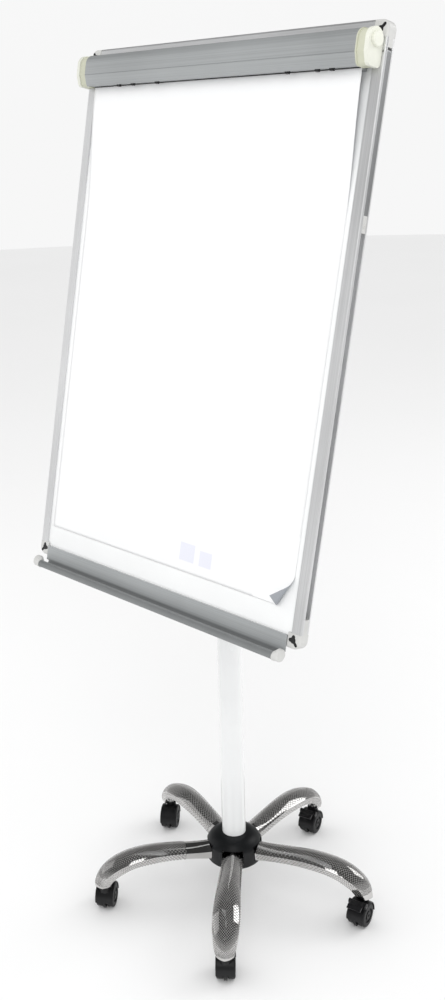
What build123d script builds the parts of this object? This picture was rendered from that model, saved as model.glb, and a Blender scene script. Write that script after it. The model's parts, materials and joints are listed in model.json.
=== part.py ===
from build123d import *
import os
from math import atan2, cos, degrees, radians, sin

os.makedirs("parts", exist_ok=True)

# Mobile flip chart easel. Millimetres, +Z up, the writing face looks towards -Y.
# The origin is on the floor, under the middle of the whole easel.

# ---------------------------------------------------------------- driving sizes
COLUMN_Y = -22.0            # the column stands a little forward of the middle of the footprint
COLUMN_R = 25.0
COLUMN_FOOT = 90.0
COLUMN_TOP = 985.0
TUBE_WALL = 2.0
MAST_R = 21.0
MAST_FOOT = 560.0
MAST_TOP = 1262.0
RUNNING_GAP = 0.05          # radial clearance of every turning or sliding fit
SEAT_GAP = 0.02             # radial clearance of pressed and glued round fits

PIVOT_Z = 1300.0            # tilt bolt, straight above the column
BOLT_R = 4.0
CHEEK_IN = 15.3             # inner face of the yoke cheeks, either side of the middle
CHEEK_OUT = 19.3

BOARD_W = 700.0
BOARD_H = 1000.0
BOARD_LEAN = 12.6           # degrees that the top leans back
BOARD_FORWARD = 87.5        # middle of the front face, ahead of the column axis
BOARD_MID_Z = 1237.4
RAIL_W = 21.0
RAIL_DEPTH = 20.0
LIP = 3.0                   # rail lip in front of the writing panel
PANEL_T = 0.8
CORE_T = 7.7
BACK_T = 0.7
SLOT_IN = 8.0               # how far the panel enters each rail
CAP = 27.0                  # side of a corner cap
GROOVE_DEPTH = 10.0
GROOVE_FRONT = -4.6
GROOVE_BACK = -15.2

ARM_COUNT = 5
FIRST_ARM = 93.5            # bearing of the rear arm, degrees
STEM_CIRCLE = 284.0
WHEEL_R = 25.0
TRAIL = 12.0                # axle behind the swivel axis
# which way each caster trails, in the order of the arms
TRAIL_BEARING = [-75.0, -55.0, 125.0, 132.0, -78.0]
BRAKED = [1, 5]

# ---------------------------------------------------------------- frames of reference
HALF_W = BOARD_W / 2
HALF_H = BOARD_H / 2
LEAN_SIN = sin(radians(BOARD_LEAN))
LEAN_COS = cos(radians(BOARD_LEAN))
ALONG_V = (0, LEAN_SIN, LEAN_COS)
ALONG_N = (0, -LEAN_COS, LEAN_SIN)
BOARD = Plane(
    origin=(0, COLUMN_Y - BOARD_FORWARD, BOARD_MID_Z),
    x_dir=(1, 0, 0),
    z_dir=ALONG_N,
)


def board_point(u, v, n):
    """Place in the world of a point across, up and out from the board's front face."""
    return BOARD.from_local_coords(Vector(u, v, n))


def face_plane(n, u=0.0, v=0.0):
    """Plane parallel to the board: x across, y up the board, z outwards."""
    return Plane(origin=board_point(u, v, n), x_dir=(1, 0, 0), z_dir=ALONG_N)


def cross_plane(u):
    """Plane across the board's width: x up the board, y outwards, z along the width."""
    return Plane(origin=board_point(u, 0, 0), x_dir=ALONG_V, z_dir=(1, 0, 0))


def upright_plane(v):
    """Plane square to the board's height: x outwards, y across, z up the board."""
    return Plane(origin=board_point(0, v, 0), x_dir=ALONG_N, z_dir=ALONG_V)


def level(z):
    """Level plane on the column axis."""
    return Plane(origin=(0, COLUMN_Y, z), x_dir=(1, 0, 0), z_dir=(0, 0, 1))


def bearing(i):
    """Bearing of arm i (1 to 5) in degrees."""
    return FIRST_ARM + 360.0 / ARM_COUNT * (i - 1)


def stem_point(i, z):
    """Place of the swivel axis of caster i at a height."""
    a = radians(bearing(i))
    return (STEM_CIRCLE * cos(a), COLUMN_Y + STEM_CIRCLE * sin(a), z)


# ---------------------------------------------------------------- star base
HUB_FOOT = 86.0
HUB_TOP = 140.0
HUB_R = 58.5
CORE_FLAT = 33.0            # from the axis to each of the five flats
CORE_TOP = 130.0

with BuildPart() as hub_core:
    with BuildSketch(level(COLUMN_FOOT)):
        RegularPolygon(
            radius=CORE_FLAT, side_count=ARM_COUNT, major_radius=False, rotation=bearing(1) + 36
        )
        Circle(COLUMN_R + SEAT_GAP, mode=Mode.SUBTRACT)
    extrude(amount=CORE_TOP - COLUMN_FOOT)
hub_core.part.label = "hub_core"
export_step(hub_core.part, "parts/hub_core.step")

# stations of an arm: reach, height of the middle, slope, width, thickness
ARM_STATIONS = [
    (33.0, 112.0, 0.0, 42.0, 27.0),
    (80.0, 113.5, 6.0, 43.5, 26.5),
    (150.0, 120.0, 5.0, 47.0, 26.0),
    (215.0, 117.5, -10.0, 53.0, 26.0),
    (259.0, 102.5, -31.0, 53.0, 27.5),
    (284.0, 79.5, -54.0, 45.0, 29.5),
    (289.5, 60.5, -90.0, 36.0, 30.0),
]
ARM_WALL = 2.5


def arm_station_plane(i, reach, height, slope):
    """Section plane of arm i: x across the arm, y towards its ridge, z along it."""
    a = radians(bearing(i))
    s = radians(slope)
    return Plane(
        origin=(reach * cos(a), COLUMN_Y + reach * sin(a), height),
        x_dir=(-sin(a), cos(a), 0),
        z_dir=(cos(a) * cos(s), sin(a) * cos(s), sin(s)),
    )


def arm_section(width, foot, ridge):
    """Roof-shaped pressing: upright sides, bowed roof that meets in a soft ridge."""
    half = width / 2
    shoulder = foot + 0.55 * (ridge - foot)
    bow = ridge - 0.2 * (ridge - foot)
    with BuildLine() as outline:
        Polyline((-half * 0.94, foot), (half * 0.94, foot), (half, shoulder))
        ThreePointArc((half, shoulder), (half * 0.66, bow), (0, ridge))
        ThreePointArc((0, ridge), (-half * 0.66, bow), (-half, shoulder))
        Line((-half, shoulder), (-half * 0.94, foot))
    make_face(outline.edges())


def arm_shell(i):
    """One pressed arm, open underneath."""
    with BuildPart() as arm:
        for reach, height, slope, width, thick in ARM_STATIONS:
            with BuildSketch(arm_station_plane(i, reach, height, slope)):
                arm_section(width, -thick / 2, thick / 2)
        loft()
        for reach, height, slope, width, thick in ARM_STATIONS:
            with BuildSketch(arm_station_plane(i, reach, height, slope)):
                arm_section(width - 2 * ARM_WALL, -thick / 2 - 1.5, thick / 2 - ARM_WALL)
        loft(mode=Mode.SUBTRACT)
    return arm


arms = []
for i in range(1, ARM_COUNT + 1):
    base_arm = arm_shell(i)
    base_arm.part.label = f"base_arm_{i}"
    export_step(base_arm.part, f"parts/base_arm_{i}.step")
    arms.append(base_arm)

WINDOW_W = 44.5
WINDOW_FOOT = 95.0
WINDOW_TOP = 127.5
SHELL_T = 3.0
with BuildPart() as hub_shell:
    with BuildSketch(Plane(origin=(0, COLUMN_Y, 0), x_dir=(1, 0, 0), z_dir=(0, -1, 0))):
        with BuildLine():
            Polyline(
                (HUB_R, HUB_TOP - 17),
                (HUB_R, HUB_FOOT + SHELL_T),
                (HUB_R - SHELL_T, HUB_FOOT + SHELL_T),
                (HUB_R - SHELL_T, HUB_TOP - 18),
                (HUB_R - 12, CORE_TOP + 0.5),
                (COLUMN_R + 0.3, CORE_TOP + 0.5),
                (COLUMN_R + 0.3, HUB_TOP + 5),
                (COLUMN_R + 5, HUB_TOP + 4),
            )
            Spline((COLUMN_R + 5, HUB_TOP + 4), (48, HUB_TOP - 3), (HUB_R, HUB_TOP - 17))
        make_face()
    revolve(axis=Axis((0, COLUMN_Y, 0), (0, 0, 1)))
    for i in range(1, ARM_COUNT + 1):
        with BuildSketch(arm_station_plane(i, 40.0, 0.0, 0.0)):
            with Locations((0, (WINDOW_FOOT + WINDOW_TOP) / 2)):
                Rectangle(WINDOW_W, WINDOW_TOP - WINDOW_FOOT)
        extrude(amount=HUB_R, mode=Mode.SUBTRACT)
hub_shell.part.label = "hub_shell"
export_step(hub_shell.part, "parts/hub_shell.step")

with BuildPart() as hub_cover:
    with BuildSketch(level(HUB_FOOT)):
        Circle(HUB_R)
    extrude(amount=3)
    fillet(hub_cover.edges().group_by(Axis.Z)[0], 1.5)
hub_cover.part.label = "hub_cover"
export_step(hub_cover.part, "parts/hub_cover.step")

# ---------------------------------------------------------------- caster sockets and stems
SOCKET_R = 8.5
STEM_R = 5.5
SWIVEL_PIN_R = 4.0
SOCKET_FOOT = 60.5
SOCKET_TOP = 90.0
STEM_FOOT = 58.6
PIN_FOOT = 48.5

with BuildPart() as caster_sockets:
    for i in range(1, ARM_COUNT + 1):
        with BuildSketch(Plane(origin=stem_point(i, SOCKET_FOOT))):
            Circle(SOCKET_R)
        extrude(amount=SOCKET_TOP - SOCKET_FOOT)
    for base_arm in arms:
        add(base_arm.part, mode=Mode.SUBTRACT)
    for i in range(1, ARM_COUNT + 1):
        with BuildSketch(Plane(origin=stem_point(i, SOCKET_FOOT))):
            Circle(STEM_R + SEAT_GAP)
        extrude(amount=SOCKET_TOP - SOCKET_FOOT - 6, mode=Mode.SUBTRACT)
caster_sockets.part.label = "caster_sockets"
export_step(caster_sockets.part, "parts/caster_sockets.step")

with BuildPart() as caster_stems:
    for i in range(1, ARM_COUNT + 1):
        with BuildSketch(Plane(origin=stem_point(i, STEM_FOOT))):
            Circle(STEM_R)
        extrude(amount=SOCKET_TOP - 7 - STEM_FOOT)
        with BuildSketch(Plane(origin=stem_point(i, PIN_FOOT))):
            Circle(SWIVEL_PIN_R)
        extrude(amount=STEM_FOOT - PIN_FOOT)
caster_stems.part.label = "caster_stems"
export_step(caster_stems.part, "parts/caster_stems.step")

# ---------------------------------------------------------------- casters
HOOD_R = 28.5
HOOD_HALF = 19.5
WHEEL_IN = 3.6
WHEEL_OUT = 18.8
WEB_HALF = 3.0
HOOD_TOP = 58.0
NECK_FOOT = 44.0
NECK_R = 12.0
AXLE_R = 3.0
PEDAL_X = 25.0
PEDAL_Z = 57.0
PEDAL_HALF = 15.0
PEDAL_BOSS_R = 3.8
# side view of a pedal, from its hinge: along the trail and up
PEDAL_PROFILE = [(0.0, 3.8), (14.0, 3.0), (22.0, -2.0), (20.0, -5.0), (12.0, -1.0), (0.0, -1.0)]
TRUNNION_R = 1.7
TRUNNION_HALF = 18.0


def caster_side_plane(i, offset):
    """Plane square to the axle of caster i: x along the trail, y up."""
    t = radians(TRAIL_BEARING[i - 1])
    x, y, _ = stem_point(i, 0)
    axle = (sin(t), -cos(t), 0)
    origin = (x + axle[0] * offset, y + axle[1] * offset, 0)
    return Plane(origin=origin, x_dir=(cos(t), sin(t), 0), z_dir=axle)


def caster_hood(i):
    """Hood of a twin-wheel caster: a web between the wheels under one mudguard."""
    braked = i in BRAKED
    with BuildPart() as hood:
        with BuildSketch(caster_side_plane(i, 0)):
            with Locations((TRAIL, WHEEL_R)):
                Circle(HOOD_R)
            with Locations((TRAIL, -18)):
                Rectangle(90, 50, mode=Mode.SUBTRACT)
        extrude(amount=HOOD_HALF, both=True)
        fillet(hood.edges().filter_by(GeomType.CIRCLE), 3)
        with BuildSketch(Plane(origin=stem_point(i, NECK_FOOT))):
            Circle(NECK_R)
        extrude(amount=HOOD_TOP - NECK_FOOT)
        for side in (-1, 1):
            with BuildSketch(caster_side_plane(i, side * WEB_HALF)):
                with Locations((TRAIL, WHEEL_R)):
                    Circle(WHEEL_R + 1.2)
                with Locations((TRAIL, 10)):
                    Rectangle(90, 24, mode=Mode.ADD)
            extrude(amount=side * HOOD_HALF, mode=Mode.SUBTRACT)
        if braked:
            for side in (-1, 1):
                with BuildSketch(caster_side_plane(i, side * 15.4)):
                    with Locations((PEDAL_X, PEDAL_Z)):
                        Circle(4.5)
                    with Locations((PEDAL_X - 1, PEDAL_Z - 4)):
                        Rectangle(9, 7)
                extrude(amount=side * 4)
            with BuildSketch(caster_side_plane(i, -HOOD_HALF)):
                with Locations((PEDAL_X, PEDAL_Z)):
                    Circle(TRUNNION_R + RUNNING_GAP)
            extrude(amount=2 * HOOD_HALF, mode=Mode.SUBTRACT)
        with BuildSketch(caster_side_plane(i, -HOOD_HALF)):
            with Locations((TRAIL, WHEEL_R)):
                Circle(AXLE_R + RUNNING_GAP)
        extrude(amount=2 * HOOD_HALF, mode=Mode.SUBTRACT)
        with BuildSketch(Plane(origin=stem_point(i, PIN_FOOT - 0.5))):
            Circle(SWIVEL_PIN_R + RUNNING_GAP)
        extrude(amount=20, mode=Mode.SUBTRACT)
    return hood


def caster_wheels(i):
    """Both wheels of a caster and the axle that they are pressed on."""
    with BuildPart() as wheels:
        for side in (-1, 1):
            with BuildSketch(caster_side_plane(i, side * WHEEL_IN)):
                with Locations((TRAIL, WHEEL_R)):
                    Circle(WHEEL_R)
                    Circle(AXLE_R + SEAT_GAP, mode=Mode.SUBTRACT)
            extrude(amount=side * (WHEEL_OUT - WHEEL_IN))
        axle_way = Axis((0, 0, 0), caster_side_plane(i, 0).z_dir)
        rims = wheels.edges().filter_by(GeomType.CIRCLE)
        outer = [e for e in rims if e.radius > WHEEL_R - 1]
        fillet(outer, 3.5)
        faces = wheels.faces().filter_by(axle_way)
        for face in (faces.sort_by(axle_way)[0], faces.sort_by(axle_way)[-1]):
            with BuildSketch(face):
                Circle(15)
                Circle(9, mode=Mode.SUBTRACT)
            extrude(amount=-2, mode=Mode.SUBTRACT)
        with BuildSketch(caster_side_plane(i, -(WHEEL_OUT - 3))):
            with Locations((TRAIL, WHEEL_R)):
                Circle(AXLE_R)
        extrude(amount=2 * (WHEEL_OUT - 3))
    return wheels


def caster_brake(i):
    """Foot pedal hinged on the trailing side of a hood."""
    with BuildPart() as pedal:
        with BuildSketch(caster_side_plane(i, 0)):
            with Locations((PEDAL_X, PEDAL_Z)):
                Circle(PEDAL_BOSS_R)
            with BuildLine():
                Polyline([(PEDAL_X + x, PEDAL_Z + z) for x, z in PEDAL_PROFILE], close=True)
            make_face()
        extrude(amount=PEDAL_HALF, both=True)
        with BuildSketch(caster_side_plane(i, -TRUNNION_HALF)):
            with Locations((PEDAL_X, PEDAL_Z)):
                Circle(TRUNNION_R)
        extrude(amount=2 * TRUNNION_HALF)
    return pedal


for i in range(1, ARM_COUNT + 1):
    hood = caster_hood(i)
    hood.part.label = f"caster_hood_{i}"
    export_step(hood.part, f"parts/caster_hood_{i}.step")
    wheels = caster_wheels(i)
    wheels.part.label = f"caster_wheels_{i}"
    export_step(wheels.part, f"parts/caster_wheels_{i}.step")
for i in BRAKED:
    pedal = caster_brake(i)
    pedal.part.label = f"caster_brake_{i}"
    export_step(pedal.part, f"parts/caster_brake_{i}.step")

# ---------------------------------------------------------------- column
with BuildPart() as column_tube:
    with BuildSketch(level(COLUMN_FOOT)):
        Circle(COLUMN_R)
        Circle(COLUMN_R - TUBE_WALL, mode=Mode.SUBTRACT)
    extrude(amount=COLUMN_TOP - COLUMN_FOOT)
column_tube.part.label = "column_tube"
export_step(column_tube.part, "parts/column_tube.step")

LINER_LENGTH = 60.0
with BuildPart() as column_liner:
    with BuildSketch(level(COLUMN_TOP - LINER_LENGTH)):
        Circle(COLUMN_R - TUBE_WALL - SEAT_GAP)
        Circle(MAST_R + RUNNING_GAP, mode=Mode.SUBTRACT)
    extrude(amount=LINER_LENGTH)
column_liner.part.label = "column_liner"
export_step(column_liner.part, "parts/column_liner.step")

COLLAR_R = 31.0
COLLAR_FOOT = 955.0
COLLAR_TOP = 1014.0
CLAMP_SCREW_Z = 999.0
CLAMP_SCREW_R = 4.0
BOSS_END = 44.0
GRIP_R = 16.0
GRIP_T = 22.0
LOBE_R = 7.5
rearwards = Plane(origin=(0, COLUMN_Y, CLAMP_SCREW_Z), x_dir=(-1, 0, 0), z_dir=(0, 1, 0))

with BuildPart() as column_collar:
    with BuildSketch(level(COLLAR_FOOT)):
        Circle(COLLAR_R)
    extrude(amount=COLLAR_TOP - COLLAR_FOOT)
    fillet(column_collar.edges().filter_by(GeomType.CIRCLE), 4)
    with BuildSketch(rearwards.offset(15)):
        Circle(12)
    extrude(amount=BOSS_END - 15)
    with BuildSketch(level(COLLAR_FOOT)):
        Circle(COLUMN_R + SEAT_GAP)
    extrude(amount=COLUMN_TOP - COLLAR_FOOT, mode=Mode.SUBTRACT)
    with BuildSketch(level(COLUMN_TOP)):
        Circle(MAST_R + 0.5)
    extrude(amount=COLLAR_TOP - COLUMN_TOP, mode=Mode.SUBTRACT)
    with BuildSketch(rearwards):
        Circle(CLAMP_SCREW_R + RUNNING_GAP)
    extrude(amount=BOSS_END + 5, mode=Mode.SUBTRACT)
column_collar.part.label = "column_collar"
export_step(column_collar.part, "parts/column_collar.step")


def star_grip(plane):
    """Five-lobed grip of a hand knob, standing on a plane."""
    with BuildPart() as grip:
        with BuildSketch(plane):
            Circle(GRIP_R)
            with PolarLocations(GRIP_R - 1.5, 5):
                Circle(LOBE_R)
        extrude(amount=GRIP_T)
        ends = grip.faces().filter_by(Axis(plane.origin, plane.z_dir))
        fillet(ends.edges(), 2)
    return grip


with BuildPart() as height_knob:
    add(star_grip(rearwards.offset(BOSS_END + 1)).part)
    with BuildSketch(rearwards.offset(MAST_R + 0.6)):
        Circle(CLAMP_SCREW_R)
    extrude(amount=BOSS_END + 1 - MAST_R - 0.6)
height_knob.part.label = "height_knob"
export_step(height_knob.part, "parts/height_knob.step")

# ---------------------------------------------------------------- mast and head
with BuildPart() as mast_tube:
    with BuildSketch(level(MAST_FOOT)):
        Circle(MAST_R)
        Circle(MAST_R - TUBE_WALL, mode=Mode.SUBTRACT)
    extrude(amount=MAST_TOP - MAST_FOOT)
mast_tube.part.label = "mast_tube"
export_step(mast_tube.part, "parts/mast_tube.step")

GLIDE_LENGTH = 40.0
with BuildPart() as mast_glide:
    with BuildSketch(level(MAST_FOOT)):
        Circle(COLUMN_R - TUBE_WALL - RUNNING_GAP)
        Circle(MAST_R + SEAT_GAP, mode=Mode.SUBTRACT)
    extrude(amount=GLIDE_LENGTH)
mast_glide.part.label = "mast_glide"
export_step(mast_glide.part, "parts/mast_glide.step")

EYE_R = 14.0
sideways = Plane(origin=(0, COLUMN_Y, PIVOT_Z), x_dir=(0, 1, 0), z_dir=(1, 0, 0))

with BuildPart() as head_yoke:
    with BuildSketch(level(MAST_TOP)):
        Circle(MAST_R + 1.5)
    extrude(amount=5)
    for side in (-1, 1):
        with BuildSketch(sideways.offset(side * CHEEK_IN)):
            Circle(EYE_R)
            with Locations((0, (MAST_TOP + 2 - PIVOT_Z) / 2)):
                Rectangle(2 * EYE_R, PIVOT_Z - MAST_TOP - 2)
            Circle(BOLT_R + SEAT_GAP, mode=Mode.SUBTRACT)
        extrude(amount=side * (CHEEK_OUT - CHEEK_IN))
head_yoke.part.label = "head_yoke"
export_step(head_yoke.part, "parts/head_yoke.step")

BOLT_END = 42.0
with BuildPart() as tilt_bolt:
    with BuildSketch(sideways.offset(-CHEEK_OUT)):
        Circle(BOLT_R)
    extrude(amount=CHEEK_OUT + BOLT_END)
    with BuildSketch(sideways.offset(-CHEEK_OUT)):
        RegularPolygon(radius=6.5, side_count=6, major_radius=False)
    extrude(amount=-5.3)
tilt_bolt.part.label = "tilt_bolt"
export_step(tilt_bolt.part, "parts/tilt_bolt.step")

TILT_GRIP = 24.0
with BuildPart() as tilt_knob:
    add(star_grip(sideways.offset(TILT_GRIP)).part)
    with BuildSketch(sideways.offset(CHEEK_OUT + 0.4)):
        Circle(10)
    extrude(amount=TILT_GRIP - CHEEK_OUT - 0.4)
    with BuildSketch(sideways.offset(CHEEK_OUT)):
        Circle(BOLT_R + RUNNING_GAP)
    extrude(amount=BOLT_END - CHEEK_OUT + 0.5, mode=Mode.SUBTRACT)
tilt_knob.part.label = "tilt_knob"
export_step(tilt_knob.part, "parts/tilt_knob.step")

# ---------------------------------------------------------------- bracket on the back of the board
PANEL_BACK = -(LIP + PANEL_T + CORE_T + BACK_T)
PLATE_T = 3.0
PLATE_W = 130.0
PLATE_H = 110.0
EAR_IN = 12.0
EAR_OUT = 15.0
pivot_local = BOARD.to_local_coords(Vector(0, COLUMN_Y, PIVOT_Z))
PIVOT_V = pivot_local.Y
PIVOT_N = pivot_local.Z

with BuildPart() as board_bracket:
    with BuildSketch(face_plane(PANEL_BACK, 0, PIVOT_V)):
        RectangleRounded(PLATE_W, PLATE_H, 8)
    extrude(amount=-PLATE_T)
    for side in (-1, 1):
        with BuildSketch(cross_plane(side * EAR_IN)):
            with BuildLine():
                Polyline(
                    (PIVOT_V - 30, PANEL_BACK - PLATE_T),
                    (PIVOT_V + 30, PANEL_BACK - PLATE_T),
                    (PIVOT_V + EYE_R - 0.5, PIVOT_N + 3),
                    (PIVOT_V - EYE_R + 0.5, PIVOT_N + 3),
                    close=True,
                )
            make_face()
            with Locations((PIVOT_V, PIVOT_N)):
                Circle(EYE_R - 0.5)
                Circle(BOLT_R + RUNNING_GAP, mode=Mode.SUBTRACT)
        extrude(amount=side * (EAR_OUT - EAR_IN))
board_bracket.part.label = "board_bracket"
export_step(board_bracket.part, "parts/board_bracket.step")

with BuildPart() as bracket_screws:
    with BuildSketch(face_plane(PANEL_BACK - PLATE_T, 0, PIVOT_V)):
        with GridLocations(PLATE_W - 24, PLATE_H - 24, 2, 2):
            Circle(5)
    extrude(amount=-2.6)
    fillet(bracket_screws.edges().group_by(Axis(board_point(0, 0, 0), ALONG_N))[0], 1.4)
bracket_screws.part.label = "bracket_screws"
export_step(bracket_screws.part, "parts/bracket_screws.step")

# ---------------------------------------------------------------- writing board
PANEL_W = BOARD_W - 2 * (RAIL_W - SLOT_IN)
PANEL_H = BOARD_H - 2 * (RAIL_W - SLOT_IN)
LAYERS = [
    ("writing_panel", -LIP, PANEL_T),
    ("board_core", -LIP - PANEL_T, CORE_T),
    ("back_sheet", -LIP - PANEL_T - CORE_T, BACK_T),
]
for name, front, thick in LAYERS:
    with BuildPart() as layer:
        with BuildSketch(face_plane(front)):
            Rectangle(PANEL_W, PANEL_H)
        extrude(amount=-thick)
    layer.part.label = name
    export_step(layer.part, f"parts/{name}.step")

# ---------------------------------------------------------------- frame rails
SIDE_ARM_V = 452.0          # pivot of a swing-out side arm, up from the middle
SIDE_ARM_U = 345.0
ARM_PIN_R = 2.0
RAIL_FRONT_ROUND = 4.0
RAIL_BACK_ROUND = 2.6


def rail_section(grooved):
    """Rail profile: x outwards from the board, y away from the middle of the board."""
    with Locations((-RAIL_DEPTH / 2, RAIL_W / 2)):
        Rectangle(RAIL_DEPTH, RAIL_W)
    with Locations((-LIP + PANEL_BACK / 2 + LIP / 2, SLOT_IN / 2)):
        Rectangle(-PANEL_BACK - LIP, SLOT_IN, mode=Mode.SUBTRACT)
    if grooved:
        with Locations(((GROOVE_FRONT + GROOVE_BACK) / 2, RAIL_W - GROOVE_DEPTH / 2)):
            Rectangle(GROOVE_FRONT - GROOVE_BACK, GROOVE_DEPTH, mode=Mode.SUBTRACT)


def rail(name, plane, length, grooved):
    """A length of rail along the plane's normal, its outer long edges rounded."""
    with BuildPart() as extrusion:
        with BuildSketch(plane):
            rail_section(grooved)
        extrude(amount=length)
        away = Axis(plane.origin, plane.y_dir)
        outer = extrusion.edges().filter_by(Axis(plane.origin, plane.z_dir)).group_by(away)[-1]
        corners = outer.sort_by(Axis(plane.origin, plane.x_dir))
        fillet(corners[0], RAIL_BACK_ROUND)
        fillet(corners[-1], RAIL_FRONT_ROUND)
        if grooved:
            for side in (-1, 1):
                with BuildSketch(face_plane(1, side * SIDE_ARM_U, SIDE_ARM_V)):
                    Circle(ARM_PIN_R + SEAT_GAP)
                extrude(amount=-RAIL_DEPTH - 2, mode=Mode.SUBTRACT)
    extrusion.part.label = name
    return extrusion


side_length = BOARD_H - 2 * CAP
cross_length = BOARD_W - 2 * CAP
outwards = Vector(ALONG_N)
upwards = Vector(ALONG_V)
rail_planes = {
    "rail_right": Plane(
        origin=board_point(HALF_W - RAIL_W, -HALF_H + CAP, 0), x_dir=outwards, z_dir=upwards
    ),
    "rail_left": Plane(
        origin=board_point(-HALF_W + RAIL_W, HALF_H - CAP, 0), x_dir=outwards, z_dir=-upwards
    ),
    "rail_top": Plane(
        origin=board_point(HALF_W - CAP, HALF_H - RAIL_W, 0), x_dir=outwards, z_dir=(-1, 0, 0)
    ),
    "rail_bottom": Plane(
        origin=board_point(-HALF_W + CAP, -HALF_H + RAIL_W, 0), x_dir=outwards, z_dir=(1, 0, 0)
    ),
}
for name, plane in rail_planes.items():
    upright = name in ("rail_left", "rail_right")
    frame_rail = rail(name, plane, side_length if upright else cross_length, upright)
    export_step(frame_rail.part, f"parts/{name}.step")

# ---------------------------------------------------------------- corner caps and their inserts
TOP_TONGUE_END = SIDE_ARM_V + 6.5
BOTTOM_TONGUE_END = -447.0
INSERT_DEPTH = 2.0
INSERT_SLACK = 0.05
CAP_PROUD = 0.6


def outer_corner(right, up, inset):
    """Point inside an outer corner of the frame, across and up from the middle."""
    return (right * (HALF_W - inset), up * (HALF_H - inset))


CORNERS = [(right, up) for right in (-1, 1) for up in (-1, 1)]
INSERT_HEART = 15.5
CAP_CORNER_R = 15.0
HEART_R = 5.6
# lobes of an insert: reach across and up, both away from the middle of the board, and width
INSERT_LOBES = [(-5.6, 0.5, 6.6), (0.5, -5.6, 6.6), (7.4, 7.4, 5.2)]


def insert_shape(right, up, slack):
    """Three rounded lobes: one towards each rail and a long one into the corner."""
    heart_u, heart_v = outer_corner(right, up, INSERT_HEART)
    with Locations((heart_u, heart_v)):
        Circle(HEART_R + slack)
    for across, along, width in INSERT_LOBES:
        reach = Vector(right * across, up * along)
        middle = Vector(heart_u, heart_v) + reach / 2
        turn = degrees(atan2(reach.Y, reach.X))
        with Locations(Location(middle, (0, 0, turn))):
            SlotCenterToCenter(reach.length, width + 2 * slack)


with BuildPart() as corner_caps:
    for right, up in CORNERS:
        with BuildSketch(face_plane(CAP_PROUD)) as cap_face:
            with Locations(outer_corner(right, up, CAP / 2)):
                Rectangle(CAP, CAP)
            nearest = cap_face.vertices().sort_by_distance(outer_corner(right, up, 0))[0]
            fillet(nearest, CAP_CORNER_R)
        extrude(amount=-RAIL_DEPTH - 1.0)
    facing = Axis(board_point(0, 0, 0), ALONG_N)
    outer_edges = []
    for front in corner_caps.faces().group_by(facing)[-1]:
        outer_edges += front.edges().sort_by_distance(board_point(0, 0, CAP_PROUD))[2:]
    fillet(outer_edges, RAIL_FRONT_ROUND)
    fillet(corner_caps.faces().group_by(facing)[0].edges(), 1.6)
    for right, up in CORNERS:
        tongue_end = TOP_TONGUE_END if up > 0 else BOTTOM_TONGUE_END
        tongue_length = HALF_H - CAP - abs(tongue_end)
        middle_u = right * (HALF_W - GROOVE_DEPTH / 2)
        middle_v = up * (abs(tongue_end) + tongue_length / 2)
        with BuildSketch(face_plane(GROOVE_FRONT, middle_u, middle_v)):
            Rectangle(GROOVE_DEPTH, tongue_length)
        extrude(amount=GROOVE_BACK - GROOVE_FRONT)
    with BuildSketch(face_plane(-LIP)):
        Rectangle(PANEL_W, PANEL_H)
    extrude(amount=PANEL_BACK + LIP, mode=Mode.SUBTRACT)
    with BuildSketch(face_plane(CAP_PROUD)):
        for right, up in CORNERS:
            insert_shape(right, up, INSERT_SLACK)
    extrude(amount=-INSERT_DEPTH, mode=Mode.SUBTRACT)
corner_caps.part.label = "corner_caps"
export_step(corner_caps.part, "parts/corner_caps.step")

with BuildPart() as corner_inserts:
    with BuildSketch(face_plane(CAP_PROUD - INSERT_DEPTH)):
        for right, up in CORNERS:
            insert_shape(right, up, 0)
    extrude(amount=INSERT_DEPTH + 0.3)
corner_inserts.part.label = "corner_inserts"
export_step(corner_inserts.part, "parts/corner_inserts.step")

# ---------------------------------------------------------------- swing-out side arms
ARM_FACE = 349.8
ARM_BACK = 340.4
ARM_HALF_T = (ARM_FACE - ARM_BACK) / 2
ARM_N = (GROOVE_FRONT + GROOVE_BACK) / 2
ARM_DEPTH = GROOVE_FRONT - GROOVE_BACK - 0.8
TIP_V = 180.0
TIP_LENGTH = 27.0

with BuildPart() as side_arm_pins:
    with BuildSketch(face_plane(-0.6)):
        with Locations((-SIDE_ARM_U, SIDE_ARM_V), (SIDE_ARM_U, SIDE_ARM_V)):
            Circle(ARM_PIN_R)
    extrude(amount=-RAIL_DEPTH + 1.2)
side_arm_pins.part.label = "side_arm_pins"
export_step(side_arm_pins.part, "parts/side_arm_pins.step")

for side, name in ((-1, "left"), (1, "right")):
    with BuildPart() as side_arm:
        with BuildSketch(face_plane(ARM_N + ARM_DEPTH / 2)):
            with Locations((side * (ARM_FACE + ARM_BACK) / 2, SIDE_ARM_V)):
                Circle(ARM_HALF_T)
            with Locations((side * (ARM_FACE + ARM_BACK) / 2, (SIDE_ARM_V + TIP_V + TIP_LENGTH) / 2)):
                Rectangle(2 * ARM_HALF_T, SIDE_ARM_V - TIP_V - TIP_LENGTH)
            with Locations((side * SIDE_ARM_U, SIDE_ARM_V)):
                Circle(ARM_PIN_R + RUNNING_GAP, mode=Mode.SUBTRACT)
        extrude(amount=-ARM_DEPTH)
    side_arm.part.label = f"side_arm_{name}"
    export_step(side_arm.part, f"parts/side_arm_{name}.step")
    with BuildPart() as arm_tip:
        with BuildSketch(face_plane(ARM_N + ARM_DEPTH / 2)):
            with Locations((side * (ARM_FACE + ARM_BACK) / 2, TIP_V + TIP_LENGTH / 2)):
                Rectangle(2 * ARM_HALF_T, TIP_LENGTH)
        extrude(amount=-ARM_DEPTH)
        dish = board_point(side * (ARM_FACE + 5.5), TIP_V + 8, ARM_N)
        with Locations(Location(dish)):
            Sphere(7.0, rotation=(0, side * 90, 0), mode=Mode.SUBTRACT)
    arm_tip.part.label = f"side_arm_tip_{name}"
    export_step(arm_tip.part, f"parts/side_arm_tip_{name}.step")

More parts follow.
